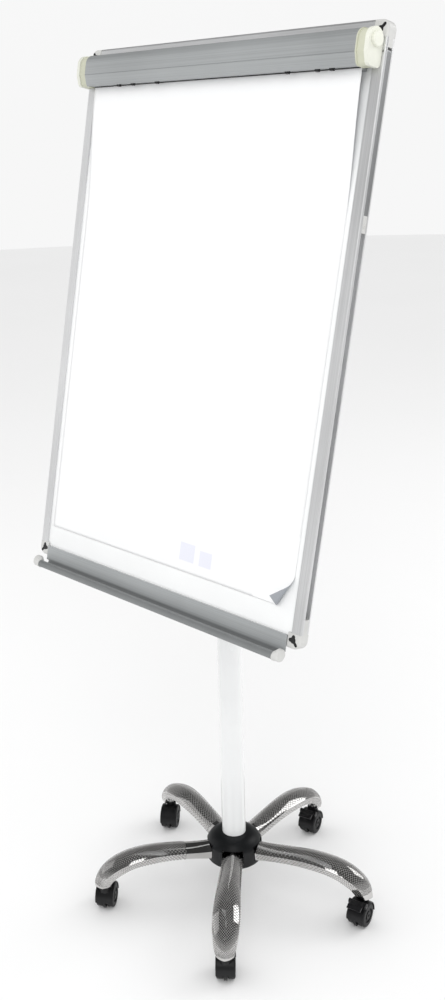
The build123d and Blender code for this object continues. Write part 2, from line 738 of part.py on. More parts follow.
# ---------------------------------------------------------------- pen tray
TRAY_TOP = -479.0
BEND_V = -508.0
BEND_N = 12.5
BEND_R = 10.0
SHEET_T = 2.2
BEAD_V = -514.0
BEAD_N = 21.5
BEAD_R = 7.0
BEAD_WALL = 1.6
TRAY_HALF = 316.0
FLANGE_HALF = 322.5
TRAY_SEAT = 0.3

with BuildPart() as pen_tray:
    with BuildSketch(cross_plane(-TRAY_HALF)):
        with Locations(((TRAY_TOP + BEND_V) / 2, TRAY_SEAT + SHEET_T / 2)):
            Rectangle(TRAY_TOP - BEND_V, SHEET_T)
        with BuildLine():
            CenterArc((BEND_V, BEND_N), BEND_R, 180, 90)
            Line((BEND_V, BEND_N - BEND_R), (BEND_V, BEND_N - BEND_R - SHEET_T))
            CenterArc((BEND_V, BEND_N), BEND_R + SHEET_T, 180, 90)
            Line((BEND_V - BEND_R, BEND_N), (BEND_V - BEND_R - SHEET_T, BEND_N))
        make_face()
        with Locations((BEND_V - BEND_R - SHEET_T / 2, (BEND_N + BEAD_N) / 2)):
            Rectangle(SHEET_T, BEAD_N - BEND_N)
        with Locations((BEAD_V, BEAD_N)):
            Circle(BEAD_R)
            Circle(BEAD_R - BEAD_WALL, mode=Mode.SUBTRACT)
    extrude(amount=2 * TRAY_HALF)
    for side in (-1, 1):
        with BuildSketch(cross_plane(side * TRAY_HALF)):
            with Locations(((TRAY_TOP + BEND_V) / 2, TRAY_SEAT + SHEET_T / 2)):
                Rectangle(TRAY_TOP - BEND_V, SHEET_T)
        extrude(amount=side * (FLANGE_HALF - TRAY_HALF))
pen_tray.part.label = "pen_tray"
export_step(pen_tray.part, "parts/pen_tray.step")

TRAY_CAP_V = -510.5
TRAY_CAP_N = 20.0
TRAY_CAP_R = 11.2
COLLAR_LENGTH = 8.0
TRAY_CAP_T = 6.0
with BuildPart() as tray_end_caps:
    for side in (-1, 1):
        with BuildSketch(cross_plane(side * TRAY_HALF)):
            with Locations((BEAD_V, BEAD_N)):
                Circle(BEAD_R + 1.4)
        with BuildSketch(cross_plane(side * (TRAY_HALF + COLLAR_LENGTH))):
            with Locations((TRAY_CAP_V, TRAY_CAP_N)):
                Circle(TRAY_CAP_R)
        loft()
        with BuildSketch(cross_plane(side * (TRAY_HALF + COLLAR_LENGTH))):
            with Locations((TRAY_CAP_V, TRAY_CAP_N)):
                Circle(TRAY_CAP_R)
        extrude(amount=side * TRAY_CAP_T)
    add(pen_tray.part, mode=Mode.SUBTRACT)
    ends = tray_end_caps.faces().filter_by(Axis.X).sort_by(Axis.X)
    fillet(ends[0].edges(), 1.5)
    fillet(ends[-1].edges(), 1.5)
tray_end_caps.part.label = "tray_end_caps"
export_step(tray_end_caps.part, "parts/tray_end_caps.step")

# ---------------------------------------------------------------- clamp bar and pad hooks
HINGE_V = 465.0
HINGE_N = 19.0
BAR_R = 18.0
BAR_WALL = 2.2
BAR_HALF = 320.0
FOLD_V = 444.5
CHEEK_FROM = 337.0
CHEEK_TO = 344.0
CHEEK_R = 18.4
PIN_R = 3.0
RAIL_FRONT = 9.5
RAIL_FOOT = 424.0
RAIL_HEAD = 448.0
HOOK_V = 436.2
HOOK_U = 215.0
SLOT_W = 14.0               # T-slot of the clamp rail: wide foot behind a narrower mouth
SLOT_DEEP = 6.6
SLOT_MID = 3.0
MOUTH_W = 7.6
SLIDE_GAP = 0.4             # play of a pad hook in the slot, each way
PIN_END = 25.8
PIN_START = 9.8
CHIN_V = 429.0              # the clamp's front turns in here, below the fold line
FOOT_V = 425.5              # lower edge of the clamp
CHIN_IN = 6.5               # chin and foot, in from the clamp's front
FOOT_IN = 10.5
WEB_V = 428.6               # inner web of the bar, which carries the jaw strip
WEB_T = 2.2
WEB_BACK = 12.6
WEB_FRONT = 29.0


def arc_point(radius, angle):
    """Point round the clamp hinge, in the cross plane."""
    return (HINGE_V + radius * cos(radians(angle)), HINGE_N + radius * sin(radians(angle)))


def clamp_outline(radius, first, back):
    """Closed outline of a clamp end: round head, straight front, back at a set distance."""
    front = HINGE_N + radius
    with BuildLine() as outline:
        CenterArc((HINGE_V, HINGE_N), radius, first, 90 - first)
        Line((HINGE_V, front), (FOLD_V, front - 0.4))
        Polyline((FOLD_V, front - 0.4), (CHIN_V, front - CHIN_IN), (FOOT_V, front - FOOT_IN))
        Polyline((FOOT_V, front - FOOT_IN), (FOOT_V, back + 5), (FOOT_V + 4.5, back))
        Line((FOOT_V + 4.5, back), arc_point(radius, first))
    make_face(outline.edges())


with BuildPart() as clamp_rail:
    with BuildSketch(cross_plane(-BAR_HALF + 2)):
        with Locations(((RAIL_FOOT + RAIL_HEAD) / 2, (RAIL_FRONT - LIP) / 2)):
            Rectangle(RAIL_HEAD - RAIL_FOOT, RAIL_FRONT + LIP)
        with Locations((HOOK_V, SLOT_MID)):
            Rectangle(SLOT_W, SLOT_DEEP, mode=Mode.SUBTRACT)
        with Locations((HOOK_V, RAIL_FRONT)):
            Rectangle(MOUTH_W, 2 * (RAIL_FRONT - SLOT_MID), mode=Mode.SUBTRACT)
    extrude(amount=2 * BAR_HALF - 4)
clamp_rail.part.label = "clamp_rail"
export_step(clamp_rail.part, "parts/clamp_rail.step")

HOOK_HALF = 16.0
for side, name in ((-1, "left"), (1, "right")):
    with BuildPart() as hook:
        with BuildSketch(cross_plane(side * HOOK_U - HOOK_HALF)):
            with Locations((HOOK_V, SLOT_MID)):
                Rectangle(SLOT_W - 2 * SLIDE_GAP, SLOT_DEEP - 2 * SLIDE_GAP)
            with Locations((HOOK_V, (SLOT_MID + PIN_START) / 2)):
                Rectangle(MOUTH_W - 2 * SLIDE_GAP, PIN_START - SLOT_MID)
        extrude(amount=2 * HOOK_HALF)
        with BuildSketch(face_plane(PIN_START, side * HOOK_U, HOOK_V)):
            Circle(PIN_R)
        extrude(amount=PIN_END - PIN_START)
        fillet(hook.edges().group_by(Axis(board_point(0, 0, 0), ALONG_N))[-1], 1.8)
    hook.part.label = f"pad_hook_{name}"
    export_step(hook.part, f"parts/pad_hook_{name}.step")

with BuildPart() as clamp_cheeks:
    for side in (-1, 1):
        with BuildSketch(cross_plane(side * CHEEK_FROM)):
            clamp_outline(CHEEK_R, -90, 0.6)
            with Locations((HINGE_V, HINGE_N)):
                Circle(PIN_R + RUNNING_GAP, mode=Mode.SUBTRACT)
        extrude(amount=side * (CHEEK_TO - CHEEK_FROM))
clamp_cheeks.part.label = "clamp_cheeks"
export_step(clamp_cheeks.part, "parts/clamp_cheeks.step")

with BuildPart() as clamp_bar:
    with BuildSketch(cross_plane(-BAR_HALF)):
        with BuildLine():
            CenterArc((HINGE_V, HINGE_N), BAR_R, -45, 135)
            Polyline(
                (HINGE_V, HINGE_N + BAR_R),
                (FOLD_V, HINGE_N + BAR_R - 0.3),
                (CHIN_V, WEB_FRONT + 2.0),
                (FOOT_V - 0.5, WEB_FRONT - 1.5),
                (FOOT_V + 1.5, WEB_FRONT - 3.2),
                (CHIN_V + 1.2, WEB_FRONT),
                (FOLD_V + 0.5, HINGE_N + BAR_R - BAR_WALL - 0.3),
                (HINGE_V, HINGE_N + BAR_R - BAR_WALL),
            )
            CenterArc((HINGE_V, HINGE_N), BAR_R - BAR_WALL, -45, 135)
            Line(arc_point(BAR_R, -45), arc_point(BAR_R - BAR_WALL, -45))
        make_face()
        with Locations((WEB_V, (WEB_BACK + WEB_FRONT) / 2)):
            Rectangle(WEB_T, WEB_FRONT - WEB_BACK)
        with Locations((FOLD_V, HINGE_N + BAR_R)):
            Rectangle(1.2, 2.0, mode=Mode.SUBTRACT)
    extrude(amount=2 * BAR_HALF)
clamp_bar.part.label = "clamp_bar"
export_step(clamp_bar.part, "parts/clamp_bar.step")

JAW_W = 4.6
JAW_T = 2.0
JAW_HALF = BAR_HALF - 4.0
with BuildPart() as jaw_strip:
    with BuildSketch(cross_plane(-JAW_HALF)):
        with Locations((WEB_V, WEB_BACK - JAW_T / 2)):
            Rectangle(JAW_W, JAW_T)
    extrude(amount=2 * JAW_HALF)
jaw_strip.part.label = "jaw_strip"
export_step(jaw_strip.part, "parts/jaw_strip.step")

CLIP_W = 7.0
CLIP_PLACES = [-234.0, -195.0, -130.0, 178.0, 240.0, 269.0]
with BuildPart() as jaw_clips:
    for u in CLIP_PLACES:
        with BuildSketch(cross_plane(u - CLIP_W / 2)):
            with Locations((WEB_V - WEB_T / 2 - 2.6, 22.5)):
                Rectangle(5.2, 6.0)
        extrude(amount=CLIP_W)
jaw_clips.part.label = "jaw_clips"
export_step(jaw_clips.part, "parts/jaw_clips.step")

RIM_T = 2.5
NECK_T = 14.0
END_BACK = 6.0
END_FROM_ANGLE = -75
with BuildPart() as clamp_end_caps:
    for side in (-1, 1):
        with BuildSketch(cross_plane(side * BAR_HALF)):
            clamp_outline(BAR_R + 0.3, END_FROM_ANGLE, END_BACK)
        extrude(amount=side * RIM_T)
        with BuildSketch(cross_plane(side * (BAR_HALF + RIM_T))):
            clamp_outline(BAR_R - 1.4, END_FROM_ANGLE, END_BACK)
        extrude(amount=side * NECK_T)
        with BuildSketch(cross_plane(side * (BAR_HALF + 8))):
            with Locations((HINGE_V, HINGE_N)):
                Circle(PIN_R + RUNNING_GAP)
        extrude(amount=side * 10, mode=Mode.SUBTRACT)
clamp_end_caps.part.label = "clamp_end_caps"
export_step(clamp_end_caps.part, "parts/clamp_end_caps.step")

DISC_R = 11.4
DISC_T = 5.4
HINGE_PIN_LENGTH = 14.5
for side, name in ((-1, "left"), (1, "right")):
    with BuildPart() as disc:
        with BuildSketch(cross_plane(side * (CHEEK_TO + 0.3))):
            with Locations((HINGE_V, HINGE_N)):
                Circle(DISC_R)
        extrude(amount=side * DISC_T)
        outer_face = disc.faces().sort_by(Axis((0, 0, 0), (side, 0, 0)))[-1]
        fillet(outer_face.edges(), 1.8)
        with BuildSketch(cross_plane(side * (CHEEK_TO + 0.3))):
            with Locations((HINGE_V, HINGE_N)):
                Circle(PIN_R)
        extrude(amount=-side * HINGE_PIN_LENGTH)
    disc.part.label = f"clamp_knob_{name}"
    export_step(disc.part, f"parts/clamp_knob_{name}.step")

# ---------------------------------------------------------------- cover sheet over the panel
SHEET_W = 636.0
FILM_T = 0.6
FILM_TOP = 431.3
FILM_FOOT = -437.0
FILM_PROUD = RAIL_FRONT + 0.05
FILM_FLAT = -LIP + 0.05
BOW_TOP = 423.0             # the film leaves the clamp rail here and meets the panel at BOW_FOOT
BOW_FOOT = 190.0
BOW_PULL = 87.0
with BuildPart() as cover_sheet:
    with BuildSketch(cross_plane(-SHEET_W / 2)):
        with BuildLine():
            Line((FILM_TOP, FILM_PROUD), (FILM_TOP, FILM_PROUD + FILM_T))
            for depth in (FILM_T, 0):
                Line((FILM_TOP, FILM_PROUD + depth), (BOW_TOP, FILM_PROUD + depth))
                Bezier(
                    (BOW_TOP, FILM_PROUD + depth),
                    (BOW_TOP - BOW_PULL, FILM_PROUD + depth),
                    (BOW_FOOT + BOW_PULL, FILM_FLAT + depth),
                    (BOW_FOOT, FILM_FLAT + depth),
                )
                Line((BOW_FOOT, FILM_FLAT + depth), (FILM_FOOT, FILM_FLAT + depth))
            Line((FILM_FOOT, FILM_FLAT), (FILM_FOOT, FILM_FLAT + FILM_T))
        make_face()
    extrude(amount=SHEET_W)
cover_sheet.part.label = "cover_sheet"
export_step(cover_sheet.part, "parts/cover_sheet.step")
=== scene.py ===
"""Looks of a mobile flip chart easel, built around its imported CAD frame."""

import json
import logging
from dataclasses import dataclass, field
from enum import Enum
from math import cos, degrees, pi, radians, sin

import bmesh
import bpy
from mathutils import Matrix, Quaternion, Vector
from mathutils.bvhtree import BVHTree


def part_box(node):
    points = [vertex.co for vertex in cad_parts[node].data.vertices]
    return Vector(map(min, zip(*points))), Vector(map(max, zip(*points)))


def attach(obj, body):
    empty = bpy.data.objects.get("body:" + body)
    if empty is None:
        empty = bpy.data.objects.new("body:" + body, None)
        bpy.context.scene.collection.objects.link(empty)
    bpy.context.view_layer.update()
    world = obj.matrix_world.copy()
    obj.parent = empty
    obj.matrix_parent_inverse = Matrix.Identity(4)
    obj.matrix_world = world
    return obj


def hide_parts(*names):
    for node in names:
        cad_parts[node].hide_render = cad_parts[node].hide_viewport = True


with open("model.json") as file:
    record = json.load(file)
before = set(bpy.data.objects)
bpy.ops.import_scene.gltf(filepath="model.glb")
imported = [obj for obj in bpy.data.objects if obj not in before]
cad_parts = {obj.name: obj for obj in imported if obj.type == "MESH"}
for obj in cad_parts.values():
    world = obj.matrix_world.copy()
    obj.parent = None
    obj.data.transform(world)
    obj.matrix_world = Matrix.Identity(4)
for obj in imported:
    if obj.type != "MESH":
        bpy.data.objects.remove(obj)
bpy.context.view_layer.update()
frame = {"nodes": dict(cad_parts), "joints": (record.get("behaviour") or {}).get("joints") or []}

log = logging.getLogger("easel")
Colour = tuple[float, float, float]
MM = 0.001
WELD = 0.01 * MM


# ---------------------------------------------------------------- shader maths
class Signal:
    """A number that varies over a surface, so that shader maths reads as an expression."""

    def __init__(self, bench: "NodeBench", socket: bpy.types.NodeSocket) -> None:
        """Wrap one output socket of a bench's node tree."""
        self.bench = bench
        self.socket = socket

    def _maths(self, operation: str, *operands: "Signal | float") -> "Signal":
        """Add one Math node.

        Args:
            operation: Blender's name of the operation.
            operands: its inputs, in order.

        Returns:
            The node's result.
        """
        inputs = {i: value for i, value in enumerate(operands)}
        return self.bench.signal(self.bench.node("ShaderNodeMath", {"operation": operation}, inputs))

    def __add__(self, other: "Signal | float") -> "Signal":
        """Sum."""
        return self._maths("ADD", self, other)

    __radd__ = __add__

    def __mul__(self, other: "Signal | float") -> "Signal":
        """Product."""
        return self._maths("MULTIPLY", self, other)

    __rmul__ = __mul__

    def __sub__(self, other: "Signal | float") -> "Signal":
        """Difference."""
        return self._maths("SUBTRACT", self, other)

    def __rsub__(self, other: "Signal | float") -> "Signal":
        """Difference with the signal taken away."""
        return self._maths("SUBTRACT", other, self)

    def __abs__(self) -> "Signal":
        """Distance from nought."""
        return self._maths("ABSOLUTE", self)

    def sine(self) -> "Signal":
        """Sine of the signal, in radians."""
        return self._maths("SINE", self)

    def larger(self, other: "Signal | float") -> "Signal":
        """The larger of two signals."""
        return self._maths("MAXIMUM", self, other)

    def step(self, low: float, high: float, to_low: float = 0.0, to_high: float = 1.0) -> "Signal":
        """Turn smoothly from one value to another.

        Args:
            low: the signal where the turn starts.
            high: the signal where it ends.
            to_low: the result before the turn.
            to_high: the result after it.

        Returns:
            The eased result.
        """
        node = self.bench.node(
            "ShaderNodeMapRange",
            {"interpolation_type": "SMOOTHSTEP"},
            {"Value": self, "From Min": low, "From Max": high, "To Min": to_low, "To Max": to_high},
        )
        return self.bench.signal(node)


class NodeBench:
    """A node tree, and the one way in which its nodes are made."""

    def __init__(self, owner: bpy.types.Material | bpy.types.World) -> None:
        """Start with the owner's tree, emptied."""
        owner.use_nodes = True
        self.tree = owner.node_tree
        self.tree.nodes.clear()

    def node(
        self,
        kind: str,
        settings: dict[str, object] | None = None,
        inputs: dict[str | int, object] | None = None,
    ) -> bpy.types.Node:
        """Make any node: its settings first, then the values or links of its sockets.

        Args:
            kind: the node's type.
            settings: attributes of the node.
            inputs: socket name or index to a number, a colour, a socket or a Signal.

        Returns:
            The new node.
        """
        made = self.tree.nodes.new(kind)
        for key, value in (settings or {}).items():
            setattr(made, key, value)
        for key, value in (inputs or {}).items():
            if isinstance(value, Signal):
                value = value.socket
            if isinstance(value, bpy.types.NodeSocket):
                self.tree.links.new(value, made.inputs[key])
            else:
                made.inputs[key].default_value = value
        return made

    def signal(self, node: bpy.types.Node, output: str | int = 0) -> Signal:
        """One output of a node as a Signal."""
        return Signal(self, node.outputs[output])


class Bench(NodeBench):
    """One material's node tree, with the patterns that the finishes share."""

    # sockets of a colour Mix node
    MIX_FACTOR = 0
    MIX_FIRST = 6
    MIX_SECOND = 7
    MIX_RESULT = 2

    def __init__(self, name: str) -> None:
        """Start an empty material of that name."""
        self.material = bpy.data.materials.new(name)
        super().__init__(self.material)
        self.position = self.node("ShaderNodeTexCoord").outputs["Object"]

    def along(self, direction: Vector, origin: Vector) -> Signal:
        """Distance in metres from a place, measured along a direction."""
        moved = self.node(
            "ShaderNodeVectorMath", {"operation": "SUBTRACT"}, {0: self.position, 1: tuple(origin)}
        )
        dot = self.node(
            "ShaderNodeVectorMath", {"operation": "DOT_PRODUCT"}, {0: moved.outputs[0], 1: tuple(direction)}
        )
        return self.signal(dot, "Value")

    def mapped(self, scale: tuple[float, float, float], lean: float = 0.0) -> bpy.types.NodeSocket:
        """Object coordinates turned about X by a lean in degrees, then scaled."""
        turned = self.node(
            "ShaderNodeMapping",
            {"vector_type": "POINT"},
            {"Vector": self.position, "Rotation": (radians(lean), 0, 0)},
        )
        stretched = self.node(
            "ShaderNodeMapping", {"vector_type": "POINT"}, {"Vector": turned.outputs[0], "Scale": scale}
        )
        return stretched.outputs[0]

    def noise(self, scale: float, detail: float = 2.0, vector: bpy.types.NodeSocket | None = None) -> Signal:
        """Soft noise from 0 to 1."""
        inputs = {"Vector": vector or self.position, "Scale": scale, "Detail": detail}
        return self.signal(self.node("ShaderNodeTexNoise", None, inputs), "Fac")

    def blend(
        self,
        factor: Signal | float,
        first: Colour | bpy.types.NodeSocket,
        second: Colour | bpy.types.NodeSocket,
    ) -> bpy.types.NodeSocket:
        """Mix two colours.

        Args:
            factor: how much of the second colour.
            first: a colour or a colour socket.
            second: a colour or a colour socket.

        Returns:
            The mixed colour's socket.
        """
        first = (*first, 1.0) if isinstance(first, tuple) else first
        second = (*second, 1.0) if isinstance(second, tuple) else second
        inputs = {self.MIX_FACTOR: factor, self.MIX_FIRST: first, self.MIX_SECOND: second}
        return self.node("ShaderNodeMix", {"data_type": "RGBA"}, inputs).outputs[self.MIX_RESULT]

    def bump(self, height: Signal, strength: float, depth: float) -> bpy.types.NodeSocket:
        """Surface relief.

        Args:
            height: the relief, from 0 to 1.
            strength: how much of it shows.
            depth: its depth in metres.

        Returns:
            The normal's socket.
        """
        inputs = {"Height": height, "Strength": strength, "Distance": depth}
        return self.node("ShaderNodeBump", None, inputs).outputs[0]

    def surface(self, **sockets: object) -> bpy.types.Material:
        """Close the material with a Principled shader.

        Args:
            sockets: shader sockets by name, with _ for a space.

        Returns:
            The finished material.
        """
        named = {key.replace("_", " "): value for key, value in sockets.items()}
        shader = self.node("ShaderNodeBsdfPrincipled", None, named)
        self.node("ShaderNodeOutputMaterial", None, {"Surface": shader.outputs[0]})
        return self.material


# ---------------------------------------------------------------- finishes
class Grain(Enum):
    """Which way the drawing lines of an extrusion run."""

    ACROSS = (0.6, 260.0, 260.0)
    UPRIGHT = (260.0, 260.0, 0.6)


@dataclass(frozen=True)
class DrawnAluminium:
    """Anodised extrusion with fine lines along its length."""

    name: str
    colour: Colour
    grain: Grain
    lean: float
    roughness: float = 0.42
    metallic: float = 0.75

    def colouring(self, bench: Bench, lines: Signal) -> bpy.types.NodeSocket:
        """Base colour: fine lines over broad, faint patches."""
        tone = lines * 0.6 + bench.noise(5.0, 2.0) * 0.4
        darker = tuple(c * 0.86 for c in self.colour)
        lighter = tuple(min(1.0, c * 1.10) for c in self.colour)
        return bench.blend(tone.step(0.3, 0.7), darker, lighter)

    def material(self) -> bpy.types.Material:
        """Build the finish."""
        bench = Bench(self.name)
        lines = bench.noise(3.0, 3.0, bench.mapped(self.grain.value, self.lean))
        return bench.surface(
            Base_Color=self.colouring(bench, lines),
            Metallic=self.metallic,
            Roughness=lines.step(0.25, 0.75, self.roughness - 0.07, self.roughness + 0.08),
            Normal=bench.bump(lines, 0.25, 0.0001),
        )


@dataclass(frozen=True)
class PaintedShadeTray(DrawnAluminium):
    """The same extrusion, with painted shade darkening its channel and its front bead."""

    middle: Vector = field(default_factory=Vector)
    upwards: Vector = field(default_factory=lambda: Vector((0, 0, 1)))
    # heights up the board where the painted shade begins and is full, and how dark it gets
    shade_starts: float = -0.503
    shade_full: float = -0.509
    shade_depth: float = 0.52

    def colouring(self, bench: Bench, lines: Signal) -> bpy.types.NodeSocket:
        """Base colour: painted shade, darker from the tray's bend downwards, unevenly."""
        clean = super().colouring(bench, lines)
        height = bench.along(self.upwards, self.middle)
        uneven = bench.noise(26.0, 4.0) * 0.25 + 0.85
        # painted shade over the channel and the front bead
        painted_shade = height.step(self.shade_full, self.shade_starts, 1.0, 0.0) * uneven
        return bench.blend(painted_shade, clean, tuple(c * self.shade_depth for c in self.colour))


@dataclass(frozen=True)
class Moulding:
    """Moulded plastic with a fine spark texture and slightly polished high spots."""

    name: str
    colour: Colour
    roughness: float = 0.5
    texture: float = 900.0
    relief: float = 0.00006
    shade: float = 0.12
    specular: float = 0.5

    def material(self) -> bpy.types.Material:
        """Build the finish."""
        bench = Bench(self.name)
        spark = bench.noise(self.texture, 2.0)
        handled = bench.noise(14.0, 3.0)
        darker = tuple(c * (1 - self.shade) for c in self.colour)
        return bench.surface(
            Base_Color=bench.blend(handled.step(0.35, 0.7), darker, self.colour),
            Roughness=(spark * 0.10 + handled * 0.12) + (self.roughness - 0.11),
            Specular_IOR_Level=self.specular,
            Normal=bench.bump(spark, 0.35, self.relief),
        )


@dataclass(frozen=True)
class Plating:
    """Bright metal: mirror chrome or duller zinc, with faint polishing haze."""

    name: str
    colour: Colour
    roughness: float
    haze: float

    def material(self) -> bpy.types.Material:
        """Build the finish."""
        bench = Bench(self.name)
        haze = bench.noise(60.0, 4.0)
        broad = bench.noise(9.0, 2.0)
        darker = tuple(c * 0.82 for c in self.colour)
        return bench.surface(
            Base_Color=bench.blend(broad.step(0.3, 0.75), darker, self.colour),
            Metallic=1.0,
            Roughness=haze.step(0.3, 0.8, self.roughness, self.roughness + self.haze),
            Normal=bench.bump(broad * 0.7 + haze * 0.3, 0.12, 0.0006),
        )


@dataclass(frozen=True)
class Paint:
    """Sprayed or powder-coated metal with a trace of orange peel."""

    name: str
    colour: Colour
    roughness: float = 0.28
    coat: float = 0.4
    peel: float = 0.00005

    def material(self) -> bpy.types.Material:
        """Build the finish."""
        bench = Bench(self.name)
        peel = bench.noise(420.0, 2.0)
        soft = bench.noise(6.0, 3.0)
        duller = tuple(c * 0.965 for c in self.colour)
        return bench.surface(
            Base_Color=bench.blend(soft.step(0.35, 0.7), duller, self.colour),
            Roughness=soft.step(0.3, 0.7, self.roughness - 0.04, self.roughness + 0.06),
            Coat_Weight=self.coat,
            Coat_Roughness=0.08,
            Normal=bench.bump(peel, 0.2, self.peel),
        )


@dataclass(frozen=True)
class CoreBoard:
    """Light fibreboard, only seen where the panel is taken apart."""

    name: str = "core_board"

    def material(self) -> bpy.types.Material:
        """Build the finish."""
        bench = Bench(self.name)
        fibres = bench.noise(220.0, 5.0, bench.mapped((1.0, 1.0, 0.25)))
        return bench.surface(
            Base_Color=bench.blend(fibres.step(0.35, 0.65), (0.36, 0.27, 0.18), (0.58, 0.48, 0.36)),
            Roughness=0.85,
            Normal=bench.bump(fibres, 0.5, 0.0003),
        )


@dataclass(frozen=True)
class NetWrap:
    """Fine knitted net over the chromed arms: grey threads, pale knots, open cells."""

    name: str = "protective_net"
    thread: Colour = (0.27, 0.265, 0.26)
    knot: Colour = (0.85, 0.85, 0.82)
    along_count: float = 42.0
    round_count: float = 20.0
    thread_core: float = 0.12
    thread_edge: float = 0.38
    side_cover: float = 0.30

    def thread_mask(self, phase: Signal) -> Signal:
        """Mask of the threads that run one way, from their phase."""
        return 1 - abs(phase.sine()).step(self.thread_core, self.thread_edge)

    def material(self) -> bpy.types.Material:
        """Build the finish, laid out on the sleeve's own UV map."""
        bench = Bench(self.name)
        uv = bench.node("ShaderNodeUVMap", {"uv_map": "sleeve"})
        split = bench.node("ShaderNodeSeparateXYZ", None, {0: uv.outputs[0]})
        wobble = (bench.noise(30.0, 2.0) - 0.5) * 2.2
        run = bench.signal(split, "X") * (self.along_count * pi) + wobble
        turn = bench.signal(split, "Y") * (self.round_count * pi)
        leaning = self.thread_mask(run + turn)
        counter = self.thread_mask(run - turn)
        threads = leaning.larger(counter)
        slack = bench.noise(12.0, 3.0).step(0.30, 0.72, 0.55, 1.0)
        over_top = (bench.signal(split, "Y") * (2 * pi)).sine().step(-0.2, 0.6, self.side_cover, 1.0)
        return bench.surface(
            Base_Color=bench.blend(leaning * counter, self.thread, self.knot),
            Roughness=0.6,
            Alpha=threads * slack * over_top,
            Normal=bench.bump(threads, 0.5, 0.0006),
        )


@dataclass(frozen=True)
class PrintedFilm:
    """Thin white film, faintly creased, with two pale lavender blocks near its foot."""

    name: str
    middle: Vector
    upwards: Vector
    blocks: tuple[tuple[float, float, float, float], ...]
    white: Colour = (0.93, 0.935, 0.94)
    lavender: Colour = (0.80, 0.81, 0.90)

    def _block(self, bench: Bench, across: Signal, up: Signal, spot: tuple[float, ...]) -> Signal:
        """Mask of one soft-edged rectangle, given as its centre and half sizes in metres."""
        u, v, half_w, half_h = spot
        soft = 0.0012
        inside_w = 1 - abs(across - u).step(half_w - soft, half_w + soft)
        inside_h = 1 - abs(up - v).step(half_h - soft, half_h + soft)
        return inside_w * inside_h

    def material(self) -> bpy.types.Material:
        """Build the finish."""
        bench = Bench(self.name)
        across = bench.along(Vector((1, 0, 0)), self.middle)
        up = bench.along(self.upwards, self.middle)
        marks = self._block(bench, across, up, self.blocks[0])
        for spot in self.blocks[1:]:
            marks = marks.larger(self._block(bench, across, up, spot))
        creases = bench.noise(7.0, 3.0, bench.mapped((1.0, 1.0, 0.35)))
        tinted = bench.blend(creases.step(0.3, 0.75), tuple(c * 0.985 for c in self.white), self.white)
        return bench.surface(
            Base_Color=bench.blend(marks * 0.9, tinted, self.lavender),
            Roughness=creases.step(0.3, 0.7, 0.30, 0.42),
            Normal=bench.bump(creases, 0.10, 0.0012),
        )


# ---------------------------------------------------------------- the board's own directions
@dataclass(frozen=True)
class BoardFrame:
    """Places on the leaning board: across, up and out from the middle of its front."""

    middle: Vector
    lean: float

    @property
    def up(self) -> Vector:
        """Unit vector up the board."""
        return Vector((0, sin(radians(self.lean)), cos(radians(self.lean))))

    @property
    def out(self) -> Vector:
        """Unit vector out of the board's front."""
        return Vector((0, -cos(radians(self.lean)), sin(radians(self.lean))))

    def point(self, across: float, up: float, out: float) -> Vector:
        """World place of a point given in millimetres on the board."""
        return self.middle + (Vector((across, 0, 0)) + up * self.up + out * self.out) * MM


def read_board() -> BoardFrame:
    """Work out the board's middle and lean from the panel's box and the side arms' axis."""
    axis = next(j["axis"] for j in frame["joints"] if j["name"] == "side_arm_right_swing")
    out = Vector(axis).normalized()
    up = Vector((0, out.z, -out.y))
    lean = pi / 2 - Vector((0, 1, 0)).angle(up)
    low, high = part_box("writing_panel")
    middle = (low + high) / 2 + out * WritingSurface.panel_middle * MM
    return BoardFrame(middle, degrees(lean))


def column_foot() -> Vector:
    """Place on the floor under the column's axis."""
    low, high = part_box("column_tube")
    return Vector(((low.x + high.x) / 2, (low.y + high.y) / 2, 0.0))


def joint_place(name: str) -> Vector:
    """Place of a named joint."""
    return Vector(next(j["pos_m"] for j in frame["joints"] if j["name"] == name))


def add_object(name: str, mesh: bmesh.types.BMesh, smooth: bool = True) -> bpy.types.Object:
    """Turn a finished bmesh into an object at the origin.

    Args:
        name: the piece's name.
        mesh: its shape, in the world's own coordinates.
        smooth: whether its faces are shaded smooth.

    Returns:
        The new object.
    """
    data = bpy.data.meshes.new(name)
    for face in mesh.faces:
        face.smooth = smooth
    mesh.to_mesh(data)
    mesh.free()
    piece = bpy.data.objects.new(name, data)
    bpy.context.scene.collection.objects.link(piece)
    log.info("piece %s: %d faces", name, len(data.polygons))
    return piece


def dress(material: bpy.types.Material, *nodes: str) -> None:
    """Give CAD nodes a material in place of their own."""
    for name in nodes:
        node = frame["nodes"][name]
        node.data.materials.clear()
        node.data.materials.append(material)
        log.info("node %s wears %s", name, material.name)


